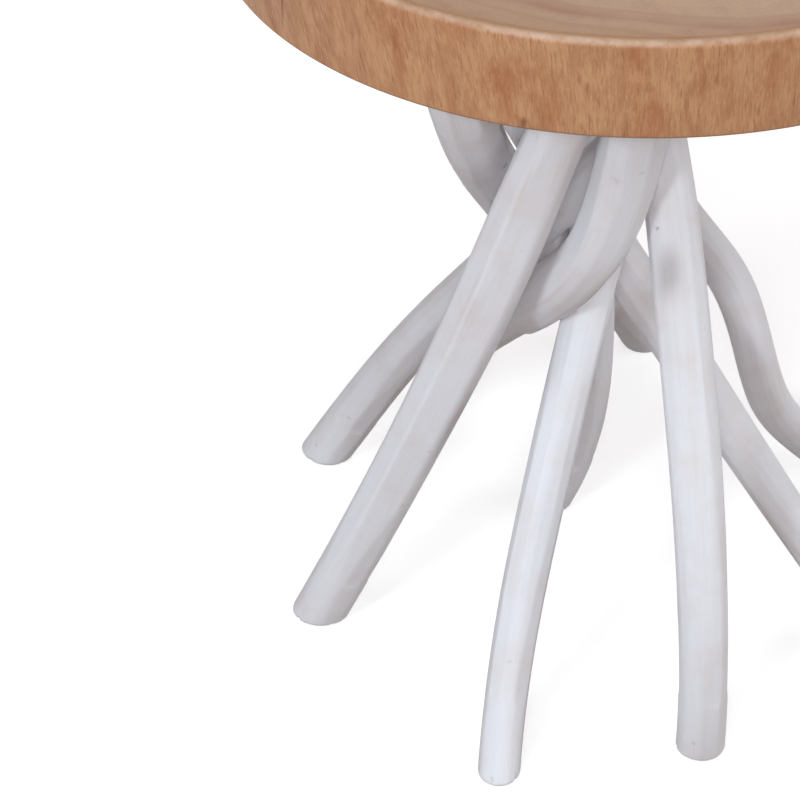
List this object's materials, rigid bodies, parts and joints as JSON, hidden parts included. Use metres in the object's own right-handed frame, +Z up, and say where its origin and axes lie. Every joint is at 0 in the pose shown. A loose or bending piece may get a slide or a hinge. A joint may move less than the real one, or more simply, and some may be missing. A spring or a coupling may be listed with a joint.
{
  "type": "tree slice side table",
  "caption": "Low round side table: a thick end-grain wood slab on a splayed tangle of white-painted, hand-hewn branch legs that cross and brace each other.",
  "frame": {"origin": "on the floor, straight below the middle of the round slab", "axes": "+Z up out of the tabletop; -Y towards the front, where the two long front legs stand; +X to the right"},
  "size_m": [0.45, 0.4679, 0.475],
  "materials": {
    "slab_wood": "light brown tropical hardwood slice, clear matte oil, growth rings on top",
    "white_paint": "drawknife-hewn branch under matte white paint",
    "dowel_wood": "plain hardwood dowel, hidden",
    "screw_steel": "zinc-plated wood screw, hidden"
  },
  "bodies": {
    "root": {"slab": "slab_wood", "left_front_leg": "white_paint", "left_back_leg": "white_paint", "back_left_leg": "white_paint", "front_leg": "white_paint", "middle_leg": "white_paint", "right_leg": "white_paint", "back_leg": "white_paint", "front_right_leg": "white_paint", "right_back_leg": "white_paint", "back_right_leg": "white_paint", "leg_dowels": "dowel_wood", "crossing_screws": "screw_steel", "screw_plugs": "white_paint"}
  },
  "joints": []
}
